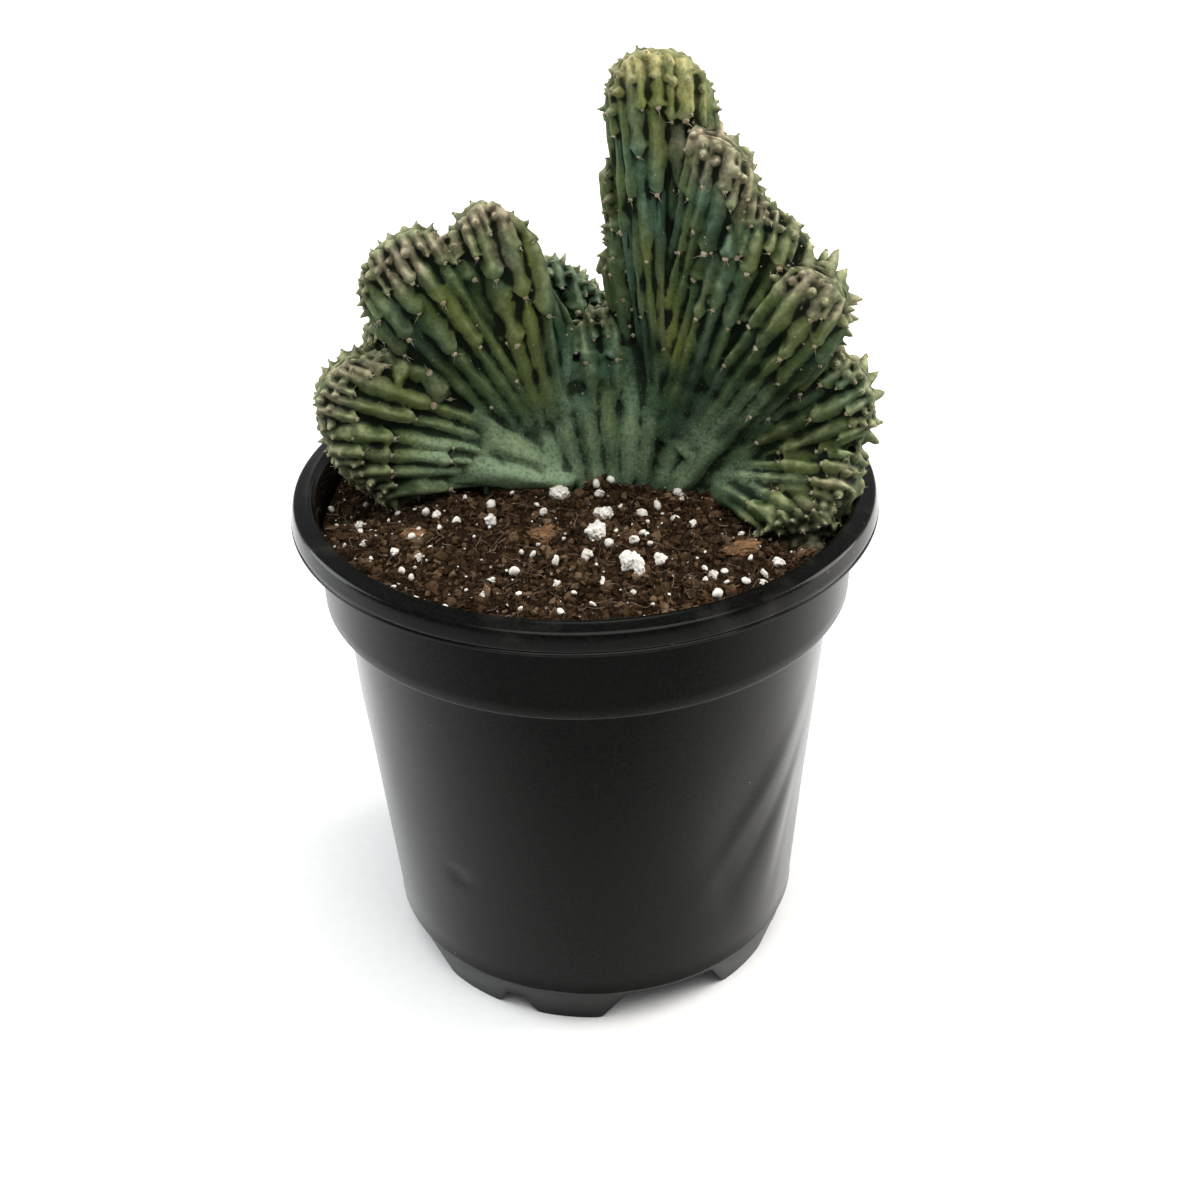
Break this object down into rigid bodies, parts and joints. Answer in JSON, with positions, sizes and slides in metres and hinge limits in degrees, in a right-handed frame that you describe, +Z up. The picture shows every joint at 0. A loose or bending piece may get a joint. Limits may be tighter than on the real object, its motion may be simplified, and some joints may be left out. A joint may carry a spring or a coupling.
{
  "type": "potted crested cactus",
  "caption": "Crested blue myrtle cactus, a fan of folded ribbed sheets, growing in a black plastic nursery pot with perlite potting mix.",
  "frame": {"origin": "centre of the pot's foot, on the surface that the pot stands on", "axes": "+Z up, -Y the front of the plant, +X the plant's right as seen from the front"},
  "size_m": [0.1524, 0.1524, 0.245],
  "materials": {
    "pot_plastic": "satin",
    "potting_mix": "matte",
    "cactus_skin": "satin",
    "bark": "matte",
    "perlite": "matte"
  },
  "bodies": {
    "root": {"nursery_pot": "pot_plastic", "potting_mix": "potting_mix", "cactus_crest": "cactus_skin", "bark_chip_01": "bark", "bark_chip_02": "bark", "bark_chip_03": "bark", "perlite_grain_01": "perlite", "perlite_grain_02": "perlite", "perlite_grain_03": "perlite", "perlite_grain_04": "perlite", "perlite_grain_05": "perlite", "perlite_grain_06": "perlite", "perlite_grain_07": "perlite", "perlite_grain_08": "perlite", "perlite_grain_09": "perlite", "perlite_grain_10": "perlite", "perlite_grain_11": "perlite", "perlite_grain_12": "perlite", "perlite_grain_13": "perlite", "perlite_grain_14": "perlite", "perlite_grain_15": "perlite", "perlite_grain_16": "perlite", "perlite_grain_17": "perlite", "perlite_grain_18": "perlite", "perlite_grain_19": "perlite", "perlite_grain_20": "perlite", "perlite_grain_21": "perlite", "perlite_grain_22": "perlite", "perlite_grain_23": "perlite", "perlite_grain_24": "perlite"}
  },
  "joints": []
}
